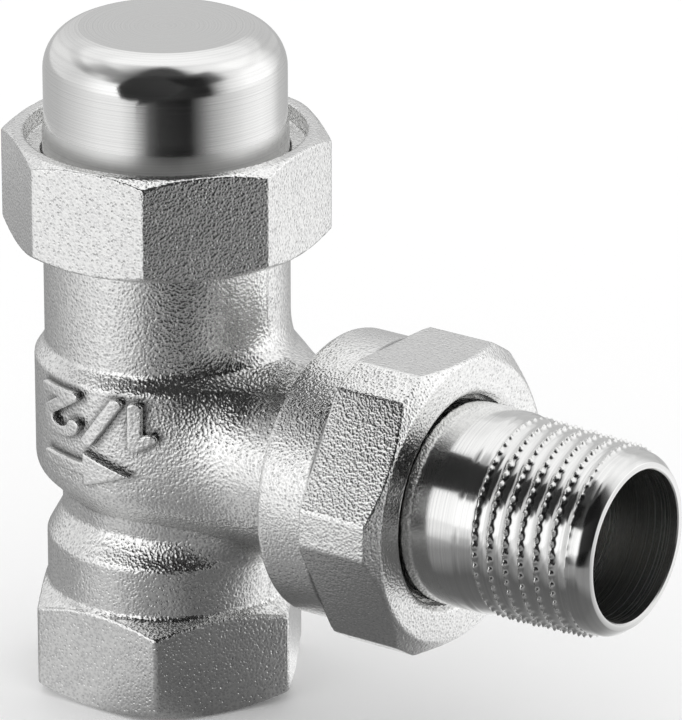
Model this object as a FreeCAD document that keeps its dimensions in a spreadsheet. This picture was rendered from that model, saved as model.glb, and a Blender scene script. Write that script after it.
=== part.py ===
import FreeCAD, Part
import math
import os

import Sketcher
from FreeCAD import Placement, Rotation, Vector

# Angle radiator valve with a screwed-down cap and a union for the radiator.
# The origin is the middle of the inlet mouth, +Z runs up the valve and +X out of the union.
# All sizes are millimetres. Threads are plain cylinders on their outer or running size.

doc = FreeCAD.newDocument("RadiatorValve")
sheet = doc.addObject("Spreadsheet::Sheet", "Sizes")

SIZES = [
    ("axis_height", 28.0, "inlet mouth to the middle of the outlet"),
    ("run_gap", 0.1, "radial gap of a piece that turns or slides in another"),
    ("inlet_wall", 2.9225, "inlet thread to the flats of the hexagon"),
    ("hex_height", 11.05, "height of the inlet hexagon"),
    ("inlet_radius", 10.4775, "outer radius of the inlet thread"),
    ("inlet_depth", 14.0, "depth of the inlet thread"),
    ("inlet_chamfer", 0.4, "lead-in of the inlet thread"),
    ("foot_step", 0.4, "hexagon flats stand out from the round foot"),
    ("foot_height", 5.5, "straight part of the foot"),
    ("foot_cone", 3.1, "height of the cone from the foot to the waist"),
    ("waist_radius", 11.3, "waist under the belly"),
    ("waist_height", 2.1, "straight part of the waist"),
    ("belly_step", 1.1, "belly stands out from the neck"),
    ("belly_cone", 2.6, "height of the cone from the waist to the belly"),
    ("belly_height", 12.6, "straight part of the belly"),
    ("belly_round", 3.0, "rounding under the belly"),
    ("shoulder_height", 2.1, "cone from the belly to the neck"),
    ("shoulder_round", 1.2, "rounding at the top of the belly"),
    ("neck_wall", 1.95, "wall of the neck round the bonnet"),
    ("neck_height", 12.0, "neck up to the collar"),
    ("collar_height", 5.2, "height of the thread collar"),
    ("collar_cone", 1.0, "underside of the thread collar"),
    ("cast_round", 0.8, "small rounding on the forged body"),
    ("flare_step", 1.15, "root of the branch lies this deep in the belly"),
    ("flare_start", 5.5, "where the branch root leaves the belly"),
    ("flare_bend", 7.5, "length of the first flare of the branch"),
    ("flare_bend_radius", 11.3, "radius between the two flares"),
    ("flare_length", 5.5, "length of the second flare"),
    ("branch_radius", 10.4, "outlet branch"),
    ("branch_length", 4.0, "straight part of the branch"),
    ("spigot_radius", 13.1, "thread of the branch for the union nut"),
    ("spigot_length", 8.9, "length of that thread"),
    ("spigot_chamfer", 0.8, "chamfer at both ends of that thread"),
    ("way_radius", 7.6, "water way in the branch"),
    ("way_gap", 0.4, "inner end of the water way to the disc"),
    ("mouth_radius", 9.0, "mouth of the water way"),
    ("mouth_length", 1.4, "cone of the mouth"),
    ("seat_bore", 6.5, "port of the seat"),
    ("seat_cone", 2.2, "cone from the inlet thread to the port"),
    ("seat_height", 7.1, "length of the port"),
    ("seat_land", 1.2, "width of the seat"),
    ("seat_rise", 0.8, "height of the seat over the chamber floor"),
    ("chamber_gap", 2.2, "room round the disc"),
    ("bonnet_clear", 2.05, "bonnet end to the chamber top"),
    ("bonnet_radius", 10.9, "thread of the bonnet"),
    ("bonnet_flange_width", 0.9, "flange of the bonnet over its thread"),
    ("bonnet_flange", 1.4, "thickness of that flange"),
    ("bonnet_gasket_height", 0.6, "washer under that flange"),
    ("bonnet_length", 12.2, "bonnet below its flange"),
    ("bonnet_head_gap", 0.43, "bonnet corners to the cap"),
    ("bonnet_head", 4.8, "height of the bonnet hexagon"),
    ("spindle_thread_step", 1.0, "thread of the spindle over its stem"),
    ("spindle_stem", 4.0, "radius of the spindle stem"),
    ("spindle_neck", 3.0, "radius of the spindle under its thread"),
    ("spindle_foot_step", 1.5, "foot of the spindle over its neck"),
    ("spindle_foot_height", 2.0, "height of the spindle foot"),
    ("spindle_neck_length", 5.5, "spindle neck above the foot"),
    ("spindle_play", 0.25, "thread end to its stop when fully open"),
    ("spindle_proud", 1.45, "spindle above the gland nut"),
    ("socket_depth", 5.0, "depth of the key socket"),
    ("lift", 4.0, "travel of the disc"),
    ("washer_height", 0.8, "washer under the packing"),
    ("packing_cord", 1.1, "cord radius of the spindle rings"),
    ("packing_height", 7.5, "depth of the packing chamber"),
    ("gland_step", 0.6, "gland hexagon over its thread"),
    ("gland_head", 2.2, "height of the gland hexagon"),
    ("seal_height", 2.0, "thickness of the disc seal"),
    ("disc_over", 0.3, "disc over the seat"),
    ("disc_flange", 2.2, "thickness of the disc"),
    ("disc_wall", 0.9, "wall of the disc boss"),
    ("disc_height", 9.7, "height of the disc holder"),
    ("disc_floor", 5.1, "solid height of the disc under the spindle foot"),
    ("clip_height", 0.8, "thickness of the wire clip"),
    ("clip_bite", 0.5, "depth of the clip groove"),
    ("clip_gap", 2.4, "width of the gap in the clip"),
    ("screw_radius", 2.0, "disc screw"),
    ("screw_head", 4.2, "head radius of the disc screw"),
    ("screw_head_height", 1.4, "head height of the disc screw"),
    ("screw_length", 5.6, "shank of the disc screw"),
    ("screw_slot", 1.0, "width of the slot in the screw head"),
    ("gasket_height", 0.8, "thickness of the cap gasket"),
    ("gasket_step", 0.5, "cap gasket to the bonnet flange"),
    ("cap_flange_width", 1.4, "flange of the cap over its skirt"),
    ("cap_flange", 1.1, "thickness of that flange"),
    ("cap_skirt_step", 0.18, "skirt of the cap over its side"),
    ("cap_skirt_height", 2.4, "straight part of the skirt"),
    ("cap_flare", 2.6, "taper above the skirt"),
    ("cap_step", 0.82, "side of the cap outside the bonnet flange"),
    ("cap_room", 2.28, "open spindle to the roof of the cap"),
    ("cap_round", 4.0, "rounding of the cap"),
    ("cap_wall", 1.32, "side wall of the cap"),
    ("cap_roof", 1.5, "roof of the cap"),
    ("cap_inner_round", 2.2, "rounding inside the cap"),
    ("cap_nut_wall", 1.475, "wall of the cap nut at its flats"),
    ("cap_nut_skirt", 6.25, "cap nut below the collar top"),
    ("cap_nut_lip", 1.2, "lip that holds the cap"),
    ("cap_nut_rim_width", 1.23, "width of the flat rim"),
    ("cap_nut_recess_depth", 1.95, "depth of that recess"),
    ("cap_nut_rim_step", 0.085, "rim inside the flats"),
    ("cap_nut_low_chamfer", 0.65, "slope of the lower chamfer"),
    ("cap_nut_high_chamfer", 0.55, "slope of the upper chamfer"),
    ("cap_nut_angle", 28.2, "how far the octagon is turned"),
    ("tail_gasket_height", 1.0, "gasket of the union"),
    ("tail_collar_step", 0.6, "collar of the tail piece inside the union thread"),
    ("tail_collar", 2.2, "thickness of that collar"),
    ("tail_radius_step", 0.1725, "plain part of the tail piece over its thread"),
    ("tail_length", 9.4, "length of that plain part"),
    ("tail_thread_radius", 10.4775, "outer radius of the tail thread"),
    ("tail_thread_length", 12.5, "length of the tail thread"),
    ("tail_step", 0.5, "step from the plain part to the thread"),
    ("tail_thread_depth", 0.9775, "depth of the thread at its end"),
    ("tail_end_cone", 0.5, "run-out of the thread"),
    ("tail_ring", 0.72, "width of the end ring"),
    ("tail_tip", 0.92, "chamfer to the end ring"),
    ("tail_bore", 8.03, "water way of the tail piece"),
    ("union_wall", 2.09, "wall of the union nut at its flats"),
    ("union_corner_cut", 1.107, "cut off the corners of the union nut"),
    ("union_facet_length", 9.2, "length of the facets"),
    ("union_band_step", 0.09, "round band inside the flats"),
    ("union_band", 6.2, "length of the round band"),
    ("union_band_round", 0.5, "rounding of the band"),
    ("union_lip", 2.7, "lip over the collar of the tail piece"),
    ("union_hole_gap", 0.45, "hole of the lip round the tail piece"),
    ("union_hole_chamfer", 0.64, "chamfer of that hole"),
    ("union_rim_step", 0.33, "front rim inside the flats"),
    ("union_chamfer", 0.67, "slope of the front chamfer"),
    ("union_angle", 58.1, "how far the facets are turned"),
]
for row, (name, value, meaning) in enumerate(SIZES, start=1):
    sheet.set("A%d" % row, name)
    sheet.set("B%d" % row, "%g" % value)
    sheet.set("C%d" % row, meaning)
    sheet.setAlias("B%d" % row, name)
doc.recompute()


class Dim:
    # A size that knows its number and the expression that binds it to the sheet.
    def __init__(self, value, text):
        self.value = float(value)
        self.text = text

    @staticmethod
    def of(other):
        if isinstance(other, Dim):
            return other
        return Dim(other, "%.9g" % other)

    def __add__(self, other):
        other = Dim.of(other)
        return Dim(self.value + other.value, "(%s + %s)" % (self.text, other.text))

    __radd__ = __add__

    def __sub__(self, other):
        other = Dim.of(other)
        return Dim(self.value - other.value, "(%s - %s)" % (self.text, other.text))

    def __mul__(self, other):
        other = Dim.of(other)
        return Dim(self.value * other.value, "(%s * %s)" % (self.text, other.text))

    __rmul__ = __mul__

    def __truediv__(self, other):
        other = Dim.of(other)
        return Dim(self.value / other.value, "(%s / %s)" % (self.text, other.text))


class Sizes:
    pass


s = Sizes()
for name, value, meaning in SIZES:
    setattr(s, name, Dim(sheet.get(name), "Sizes.%s" % name))


def plane_of(body, role):
    return [f for f in body.Origin.OriginFeatures if f.Role == role][0]


def new_body(label):
    body = doc.addObject("PartDesign::Body", label)
    body.Label = label
    return body


def new_sketch(body, role, raised=None, turned_up=None):
    sketch = body.newObject("Sketcher::SketchObject", body.Label + "_sketch")
    sketch.AttachmentSupport = [(plane_of(body, role), "")]
    sketch.MapMode = "FlatFace"
    if raised is not None:
        sketch.setExpression("AttachmentOffset.Base.z", raised.text)
    if turned_up is not None:
        sketch.setExpression("AttachmentOffset.Base.y", turned_up.text)
    return sketch


def bind_point(sketch, geo, point, axis, size, name):
    # Axis x holds the point off the upright axis, axis y off the level one.
    across = axis == "x"
    if abs(size.value) < 1e-9:
        sketch.addConstraint(Sketcher.Constraint("PointOnObject", geo, point, -2 if across else -1))
        return
    kind = "DistanceX" if across else "DistanceY"
    index = sketch.addConstraint(Sketcher.Constraint(kind, -1, 1, geo, point, size.value))
    sketch.renameConstraint(index, name)
    sketch.setExpression("Constraints." + name, size.text)


def outline(sketch, points):
    # Closed outline of straight lines with every corner bound to the sheet.
    points = [(Dim.of(a), Dim.of(b)) for a, b in points]
    count = len(points)
    for i in range(count):
        a, b = points[i], points[(i + 1) % count]
        start = Vector(a[0].value, a[1].value, 0)
        end = Vector(b[0].value, b[1].value, 0)
        sketch.addGeometry(Part.LineSegment(start, end), False)
    for i in range(count):
        sketch.addConstraint(Sketcher.Constraint("Coincident", i, 2, (i + 1) % count, 1))
    for i in range(count):
        bind_point(sketch, i, 1, "x", points[i][0], "across%d" % i)
        bind_point(sketch, i, 1, "y", points[i][1], "along%d" % i)


def polygon(sketch, count, flats):
    # Regular polygon with its first corner on the +X axis.
    corner = flats / (2 * math.cos(math.pi / count))
    ring = sketch.addGeometry(Part.Circle(Vector(0, 0, 0), Vector(0, 0, 1), corner.value), True)
    sketch.addConstraint(Sketcher.Constraint("Coincident", ring, 3, -1, 1))
    index = sketch.addConstraint(Sketcher.Constraint("Radius", ring, corner.value))
    sketch.renameConstraint(index, "corner")
    sketch.setExpression("Constraints.corner", corner.text)
    spots = []
    for i in range(count):
        turn = 2 * math.pi * i / count
        spots.append(Vector(corner.value * math.cos(turn), corner.value * math.sin(turn), 0))
    sides = []
    for i in range(count):
        sides.append(sketch.addGeometry(Part.LineSegment(spots[i], spots[(i + 1) % count]), False))
    for i in range(count):
        sketch.addConstraint(Sketcher.Constraint("Coincident", sides[i], 2, sides[(i + 1) % count], 1))
        sketch.addConstraint(Sketcher.Constraint("PointOnObject", sides[i], 1, ring))
    for i in range(1, count):
        sketch.addConstraint(Sketcher.Constraint("Equal", sides[0], sides[i]))
    sketch.addConstraint(Sketcher.Constraint("PointOnObject", sides[0], 1, -1))


def turn(body, points, axis="V_Axis", cut=False, raised=None):
    sketch = new_sketch(body, "XZ_Plane", turned_up=raised)
    outline(sketch, points)
    doc.recompute()
    kind = "PartDesign::Groove" if cut else "PartDesign::Revolution"
    feature = body.newObject(kind, body.Label + ("_cut" if cut else "_turn"))
    feature.Profile = sketch
    feature.ReferenceAxis = (sketch, [axis])
    feature.Angle = 360
    body.Tip = feature
    doc.recompute()
    return feature


def prism(body, count, flats, base, height, cut=False):
    sketch = new_sketch(body, "XY_Plane", raised=base)
    polygon(sketch, count, flats)
    doc.recompute()
    feature = body.newObject("PartDesign::Pocket" if cut else "PartDesign::Pad", body.Label + "_prism")
    feature.Profile = sketch
    feature.Length = height.value
    feature.setExpression("Length", height.text)
    body.Tip = feature
    doc.recompute()
    return feature


def rounded(body, corners):
    # Each corner is radius, height and rounding of one turned edge.
    for radius, height, rounding in corners:
        radius, height = Dim.of(radius), Dim.of(height)
        names = []
        for i, edge in enumerate(body.Tip.Shape.Edges, start=1):
            curve = edge.Curve
            if not isinstance(curve, Part.Circle) or abs(curve.Axis.z) < 0.99:
                continue
            if abs(curve.Radius - radius.value) < 1e-3 and abs(curve.Center.z - height.value) < 1e-3:
                names.append("Edge%d" % i)
        tip = body.Tip
        feature = body.newObject("PartDesign::Fillet", body.Label + "_round")
        feature.Base = (tip, names)
        feature.Radius = rounding.value
        feature.setExpression("Radius", rounding.text)
        body.Tip = feature
        doc.recompute()


def sideways(body):
    # A piece turned about its own Z axis lies along the outlet.
    body.Placement = Placement(Vector(0, 0, s.axis_height.value), Rotation(Vector(0, 1, 0), 90))
    body.setExpression("Placement.Base.z", s.axis_height.text)


def ring_of(label, radius, cord, height):
    # Round cord ring lying level on the valve axis.
    ring = doc.addObject("Part::Torus", label)
    ring.Label = label
    ring.setExpression("Radius1", radius.text)
    ring.setExpression("Radius2", cord.text)
    ring.Placement = Placement(Vector(0, 0, height.value), Rotation())
    ring.setExpression("Placement.Base.z", height.text)
    return ring


# Radii that follow from the fits
hex_flats = (s.inlet_radius + s.inlet_wall) * 2
foot_radius = hex_flats * 0.5 - s.foot_step
bonnet_hole = s.bonnet_radius + s.run_gap
bonnet_flange_radius = s.bonnet_radius + s.bonnet_flange_width
flange_hole = bonnet_flange_radius + s.run_gap
neck_radius = bonnet_hole + s.neck_wall
belly_radius = neck_radius + s.belly_step
flare_radius = belly_radius - s.flare_step
disc_radius = s.seat_bore + s.seat_land + s.disc_over
chamber_radius = disc_radius + s.chamber_gap
way_start = disc_radius + s.way_gap
cap_radius = flange_hole + s.cap_step
cap_skirt_radius = cap_radius + s.cap_skirt_step
cap_inside = cap_radius - s.cap_wall
cap_flange_radius = cap_skirt_radius + s.cap_flange_width
nut_bore = cap_flange_radius + s.run_gap * 3
collar_radius = nut_bore - s.run_gap
cap_nut_flats = (nut_bore + s.cap_nut_wall) * 2
cap_nut_rim = cap_nut_flats * 0.5 - s.cap_nut_rim_step
cap_nut_recess = cap_nut_rim - s.cap_nut_rim_width
bonnet_flats = (cap_inside - s.bonnet_head_gap) * (2 * math.cos(math.pi / 6))
spindle_thread = s.spindle_stem + s.spindle_thread_step
spindle_foot = s.spindle_neck + s.spindle_foot_step
socket_flats = s.spindle_stem * 1.25
packing_radius = s.spindle_stem + s.packing_cord * 2 + s.run_gap * 2
gland_flats = (packing_radius + s.gland_step) * 2
foot_hole = spindle_foot + s.run_gap
disc_boss = foot_hole + s.clip_bite + s.disc_wall
gasket_inner = flange_hole + s.gasket_step
tail_radius = s.tail_thread_radius + s.tail_radius_step
tail_collar_radius = s.spigot_radius - s.tail_collar_step
tail_end_radius = s.tail_thread_radius - s.tail_thread_depth
tail_tip_radius = s.tail_bore + s.tail_ring
union_bore = s.spigot_radius + s.run_gap
union_half = union_bore + s.union_wall
union_hole = tail_radius + s.union_hole_gap

# Heights up the valve
foot_top = s.hex_height + s.foot_height
waist_low = foot_top + s.foot_cone
waist_top = waist_low + s.waist_height
belly_low = waist_top + s.belly_cone
belly_top = belly_low + s.belly_height
neck_low = belly_top + s.shoulder_height
collar_low = neck_low + s.neck_height
collar_top = collar_low + s.collar_height
seat_top = s.inlet_depth + s.seat_cone + s.seat_height
floor = seat_top - s.seat_rise
flange_low = collar_top - s.bonnet_flange
counterbore = flange_low - s.bonnet_gasket_height
bonnet_low = flange_low - s.bonnet_length
chamber_top = bonnet_low - s.bonnet_clear
head_top = collar_top + s.bonnet_head
packing_low = head_top - s.packing_height
stop_low = packing_low - 0.9

# Distances out along the outlet
flare_mid = s.flare_start + s.flare_bend
flare_end = flare_mid + s.flare_length
spigot_low = flare_end + s.branch_length
spigot_end = spigot_low + s.spigot_length
collar_in = spigot_end + s.tail_gasket_height
collar_out = collar_in + s.tail_collar

# Forged body
valve_body = new_body("valve_body")
turn(valve_body, [
    (0, 1), (foot_radius, 1), (foot_radius, foot_top), (s.waist_radius, waist_low),
    (s.waist_radius, waist_top), (belly_radius, belly_low), (belly_radius, belly_top),
    (neck_radius, neck_low), (neck_radius, collar_low),
    (collar_radius, collar_low + s.collar_cone), (collar_radius, collar_top), (0, collar_top),
])
rounded(valve_body, [
    (foot_radius, foot_top, s.cast_round),
    (s.waist_radius, waist_low, s.cast_round),
    (belly_radius, belly_low, s.belly_round),
    (belly_radius, belly_top, s.shoulder_round),
    (neck_radius, neck_low, s.shoulder_round),
])
prism(valve_body, 6, hex_flats, Dim.of(0), s.hex_height)
hex_far = hex_flats * 0.65
turn(valve_body, [
    (hex_flats * 0.4925, 0), (hex_far, 0), (hex_far, (hex_far - hex_flats * 0.4925) * 0.466),
], cut=True)
turn(valve_body, [
    (foot_radius, s.hex_height), (hex_far, s.hex_height - (hex_far - foot_radius) * 0.55),
    (hex_far, s.hex_height),
], cut=True)
turn(valve_body, [
    (0, 0), (0, flare_radius), (s.flare_start, flare_radius), (flare_mid, s.flare_bend_radius),
    (flare_end, s.branch_radius), (spigot_low, s.branch_radius),
    (spigot_low + s.spigot_chamfer, s.spigot_radius), (spigot_end - s.spigot_chamfer, s.spigot_radius),
    (spigot_end, s.spigot_radius - s.spigot_chamfer), (spigot_end, 0),
], axis="H_Axis", raised=s.axis_height)
turn(valve_body, [
    (0, 0), (s.inlet_radius + s.inlet_chamfer, 0), (s.inlet_radius, s.inlet_chamfer),
    (s.inlet_radius, s.inlet_depth), (s.seat_bore, s.inlet_depth + s.seat_cone), (s.seat_bore, seat_top),
    (s.seat_bore + s.seat_land, seat_top), (s.seat_bore + s.seat_land, floor), (chamber_radius, floor),
    (chamber_radius, chamber_top), (bonnet_hole, chamber_top + 0.8),
    (bonnet_hole, counterbore), (flange_hole, counterbore),
    (flange_hole, collar_top), (0, collar_top),
], cut=True)
turn(valve_body, [
    (way_start, 0), (way_start, s.way_radius), (spigot_end - s.mouth_length, s.way_radius),
    (spigot_end, s.mouth_radius), (spigot_end, 0),
], axis="H_Axis", cut=True, raised=s.axis_height)

# Bonnet that carries the spindle
bonnet = new_body("bonnet")
turn(bonnet, [
    (0, bonnet_low), (s.bonnet_radius - 0.7, bonnet_low), (s.bonnet_radius, bonnet_low + 0.7),
    (s.bonnet_radius, flange_low), (bonnet_flange_radius, flange_low),
    (bonnet_flange_radius, collar_top), (0, collar_top),
])
prism(bonnet, 6, bonnet_flats, collar_top, s.bonnet_head)
bonnet_far = bonnet_flats * 0.65
turn(bonnet, [
    (bonnet_flats * 0.48, head_top), (bonnet_far, head_top - (bonnet_far - bonnet_flats * 0.48) * 0.55),
    (bonnet_far, head_top),
], cut=True)
turn(bonnet, [
    (0, bonnet_low), (spindle_thread + s.run_gap, bonnet_low), (spindle_thread + s.run_gap, stop_low),
    (s.spindle_stem + s.run_gap, stop_low), (s.spindle_stem + s.run_gap, packing_low),
    (packing_radius, packing_low), (packing_radius, head_top), (0, head_top),
], cut=True)

bonnet_gasket = new_body("bonnet_gasket")
turn(bonnet_gasket, [
    (bonnet_hole, counterbore), (bonnet_flange_radius, counterbore),
    (bonnet_flange_radius, flange_low), (bonnet_hole, flange_low),
])

# Packing of the spindle: a washer, two cord rings and the gland nut on top
thrust_washer = new_body("thrust_washer")
washer_top = packing_low + s.washer_height
turn(thrust_washer, [
    (s.spindle_stem + s.run_gap, packing_low), (packing_radius - s.run_gap, packing_low),
    (packing_radius - s.run_gap, washer_top), (s.spindle_stem + s.run_gap, washer_top),
])
cord_middle = (s.spindle_stem + packing_radius) * 0.5
ring_low = washer_top + s.packing_cord
ring_high = ring_low + s.packing_cord * 2
spindle_seal_lower = ring_of("spindle_seal_lower", cord_middle, s.packing_cord, ring_low)
spindle_seal_upper = ring_of("spindle_seal_upper", cord_middle, s.packing_cord, ring_high)

gland_nut = new_body("gland_nut")
gland_low = ring_high + s.packing_cord
gland_top = head_top + s.gland_head
turn(gland_nut, [
    (0, gland_low), (packing_radius - s.run_gap, gland_low), (packing_radius - s.run_gap, head_top),
    (0, head_top),
])
prism(gland_nut, 6, gland_flats, head_top, s.gland_head)
gland_far = gland_flats * 0.65
turn(gland_nut, [
    (gland_flats * 0.48, gland_top), (gland_far, gland_top - (gland_far - gland_flats * 0.48) * 0.55),
    (gland_far, gland_top),
], cut=True)
stem_hole = s.spindle_stem + s.run_gap
turn(gland_nut, [(0, gland_low), (stem_hole, gland_low), (stem_hole, gland_top), (0, gland_top)], cut=True)

# Disc with its soft seal, held on the spindle foot by a clip
disc_holder = new_body("disc_holder")
disc_low = seat_top + s.seal_height
disc_top = disc_low + s.disc_height
foot_seat = disc_low + s.disc_floor
clip_low = foot_seat + s.spindle_foot_height + s.run_gap
clip_top = clip_low + s.clip_height
turn(disc_holder, [
    (0, disc_low), (disc_radius, disc_low), (disc_radius, disc_low + s.disc_flange),
    (disc_boss, disc_low + s.disc_flange + 1.2), (disc_boss, disc_top), (foot_hole, disc_top),
    (foot_hole, clip_top), (foot_hole + s.clip_bite, clip_top), (foot_hole + s.clip_bite, clip_low),
    (foot_hole, clip_low), (foot_hole, foot_seat), (0, foot_seat),
])
screw_top = seat_top + s.screw_length
turn(disc_holder, [
    (0, disc_low), (s.screw_radius + 0.05, disc_low), (s.screw_radius + 0.05, screw_top + 0.3),
    (0, screw_top + 0.3),
], cut=True)

disc_clip = new_body("disc_clip")
clip_in = s.spindle_neck + s.run_gap
clip_out = foot_hole + s.clip_bite
turn(disc_clip, [(clip_in, clip_low), (clip_out, clip_low), (clip_out, clip_top), (clip_in, clip_top)])
clip_gap = new_sketch(disc_clip, "XY_Plane", raised=clip_top)
outline(clip_gap, [
    (clip_in * 0.5, 0), (clip_out * 1.2, 0), (clip_out * 1.2, s.clip_gap), (clip_in * 0.5, s.clip_gap),
])
doc.recompute()
clip_cut = disc_clip.newObject("PartDesign::Pocket", "disc_clip_gap")
clip_cut.Profile = clip_gap
clip_cut.setExpression("Length", (s.clip_height * 1.5).text)
disc_clip.Tip = clip_cut
doc.recompute()

disc_seal = new_body("disc_seal")
seal_hole = s.screw_radius + s.run_gap
turn(disc_seal, [
    (seal_hole, seat_top), (disc_radius, seat_top), (disc_radius, disc_low), (seal_hole, disc_low),
])

disc_screw = new_body("disc_screw")
screw_low = seat_top - s.screw_head_height
turn(disc_screw, [
    (0, screw_low), (s.screw_head - 0.5, screw_low), (s.screw_head, screw_low + 0.5),
    (s.screw_head, seat_top),
    (s.screw_radius, seat_top), (s.screw_radius, screw_top), (0, screw_top),
])
slot = disc_screw.newObject("PartDesign::SubtractiveBox", "disc_screw_slot")
slot.setExpression("Length", (s.screw_head * 3).text)
slot.setExpression("Width", s.screw_slot.text)
slot.setExpression("Height", (s.screw_head_height * 0.6).text)
slot.setExpression("Placement.Base.x", (s.screw_head * -1.5).text)
slot.setExpression("Placement.Base.y", (s.screw_slot * -0.5).text)
slot.setExpression("Placement.Base.z", screw_low.text)
disc_screw.Tip = slot
doc.recompute()

# Spindle with a key socket
spindle = new_body("spindle")
neck_start = foot_seat + s.spindle_foot_height
thread_low = neck_start + s.spindle_neck_length
thread_top = stop_low - s.lift - s.spindle_play
stem_top = gland_top + s.spindle_proud
turn(spindle, [
    (0, foot_seat), (spindle_foot, foot_seat), (spindle_foot, neck_start), (s.spindle_neck, neck_start),
    (s.spindle_neck, thread_low), (spindle_thread - 0.6, thread_low), (spindle_thread, thread_low + 0.6),
    (spindle_thread, thread_top - 0.4), (spindle_thread - 0.4, thread_top), (s.spindle_stem, thread_top),
    (s.spindle_stem, stem_top - 0.5), (s.spindle_stem - 0.5, stem_top), (0, stem_top),
])
prism(spindle, 6, socket_flats, stem_top, s.socket_depth, cut=True)

# Closing cap with its gasket
gasket_top = collar_top + s.gasket_height
cap_gasket = new_body("cap_gasket")
gasket_out = cap_flange_radius - s.run_gap
turn(cap_gasket, [
    (gasket_inner, collar_top), (gasket_out, collar_top), (gasket_out, gasket_top),
    (gasket_inner, gasket_top),
])

cap = new_body("cap")
flange_top = gasket_top + s.cap_flange
skirt_top = flange_top + s.cap_skirt_height
roof_low = stem_top + s.lift + s.cap_room
cap_top = roof_low + s.cap_roof
turn(cap, [
    (cap_inside, gasket_top), (cap_flange_radius, gasket_top), (cap_flange_radius, flange_top),
    (cap_skirt_radius, flange_top), (cap_skirt_radius, skirt_top), (cap_radius, skirt_top + s.cap_flare),
    (cap_radius, cap_top), (0, cap_top), (0, roof_low), (cap_inside, roof_low),
])
rounded(cap, [(cap_radius, cap_top, s.cap_round), (cap_inside, roof_low, s.cap_inner_round)])

# Octagonal nut that holds the cap down
cap_nut = new_body("cap_nut")
nut_low = collar_top - s.cap_nut_skirt
recess_low = flange_top + s.cap_nut_lip
nut_top = recess_low + s.cap_nut_recess_depth
prism(cap_nut, 8, cap_nut_flats, nut_low, nut_top - nut_low)
nut_far = cap_nut_flats * 0.58
turn(cap_nut, [
    (cap_nut_rim, nut_low), (nut_far, nut_low),
    (nut_far, nut_low + (nut_far - cap_nut_rim) * s.cap_nut_low_chamfer),
], cut=True)
turn(cap_nut, [
    (cap_nut_rim, nut_top), (nut_far, nut_top - (nut_far - cap_nut_rim) * s.cap_nut_high_chamfer),
    (nut_far, nut_top),
], cut=True)
lip_hole = cap_skirt_radius + s.run_gap * 1.5
turn(cap_nut, [
    (0, nut_low), (nut_bore + 0.6, nut_low), (nut_bore, nut_low + 0.6), (nut_bore, flange_top),
    (lip_hole, flange_top), (lip_hole, recess_low), (cap_nut_recess, recess_low),
    (cap_nut_recess, nut_top), (0, nut_top),
], cut=True)
cap_nut.Placement = Placement(Vector(0, 0, 0), Rotation(Vector(0, 0, 1), s.cap_nut_angle.value))
cap_nut.setExpression("Placement.Rotation.Angle", s.cap_nut_angle.text)

# Tail piece, union nut and gasket, turned about their own axis and laid along the outlet
tail_gasket = new_body("tail_gasket")
turn(tail_gasket, [
    (s.mouth_radius, spigot_end), (s.spigot_radius - s.spigot_chamfer, spigot_end),
    (s.spigot_radius - s.spigot_chamfer, collar_in), (s.mouth_radius, collar_in),
])
sideways(tail_gasket)

tail_piece = new_body("tail_piece")
plain_end = collar_out + s.tail_length
thread_start = plain_end + s.tail_step
thread_end = thread_start + s.tail_thread_length
run_out = thread_end + s.tail_end_cone
tail_end = run_out + s.tail_tip
turn(tail_piece, [
    (s.tail_bore, collar_in), (tail_collar_radius, collar_in), (tail_collar_radius, collar_out),
    (tail_radius, collar_out), (tail_radius, plain_end), (s.tail_thread_radius, thread_start),
    (s.tail_thread_radius, thread_end), (tail_end_radius, run_out), (tail_tip_radius, tail_end),
    (s.tail_bore, tail_end),
])
sideways(tail_piece)

union_nut = new_body("union_nut")
face_out = collar_out + s.union_lip
facet_low = face_out - s.union_facet_length
band_low = facet_low - s.union_band
union_band_radius = union_half - s.union_band_step
turn(union_nut, [
    (0, band_low), (union_band_radius, band_low), (union_band_radius, facet_low), (0, facet_low),
])
rounded(union_nut, [(union_band_radius, band_low, s.union_band_round)])
facets = new_sketch(union_nut, "XY_Plane")
facet_turn = Rotation(Vector(0, 0, 1), s.union_angle.value)
facets.AttachmentOffset = Placement(Vector(0, 0, facet_low.value), facet_turn)
facets.setExpression("AttachmentOffset.Base.z", facet_low.text)
facets.setExpression("AttachmentOffset.Rotation.Angle", s.union_angle.text)
narrow = union_half * (2 / math.sqrt(3)) - s.union_corner_cut
corner_side = (narrow - union_half * math.cos(math.pi / 6)) * 2
half = math.atan2(corner_side.value, union_half.value)
union_corner = math.hypot(corner_side.value, union_half.value)
rim = facets.addGeometry(Part.Circle(Vector(0, 0, 0), Vector(0, 0, 1), union_corner), True)
facets.addConstraint(Sketcher.Constraint("Coincident", rim, 3, -1, 1))
spots = []
for i in range(6):
    for side in (-half, half):
        angle = math.radians(60 * i) + side
        spots.append(Vector(union_corner * math.cos(angle), union_corner * math.sin(angle), 0))
sides = []
for i in range(12):
    sides.append(facets.addGeometry(Part.LineSegment(spots[i], spots[(i + 1) % 12]), False))
for i in range(12):
    facets.addConstraint(Sketcher.Constraint("Coincident", sides[i], 2, sides[(i + 1) % 12], 1))
    facets.addConstraint(Sketcher.Constraint("PointOnObject", sides[i], 1, rim))
for i in range(2, 12):
    facets.addConstraint(Sketcher.Constraint("Equal", sides[i % 2], sides[i]))
facets.addConstraint(Sketcher.Constraint("Vertical", sides[0]))
bind_point(facets, sides[0], 1, "x", union_half, "flats")
bind_point(facets, sides[0], 2, "y", corner_side, "corner")
doc.recompute()
facet_pad = union_nut.newObject("PartDesign::Pad", "union_nut_facets")
facet_pad.Profile = facets
facet_pad.setExpression("Length", s.union_facet_length.text)
union_nut.Tip = facet_pad
doc.recompute()
union_far = union_half * 1.2
union_rim = union_half - s.union_rim_step
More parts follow.
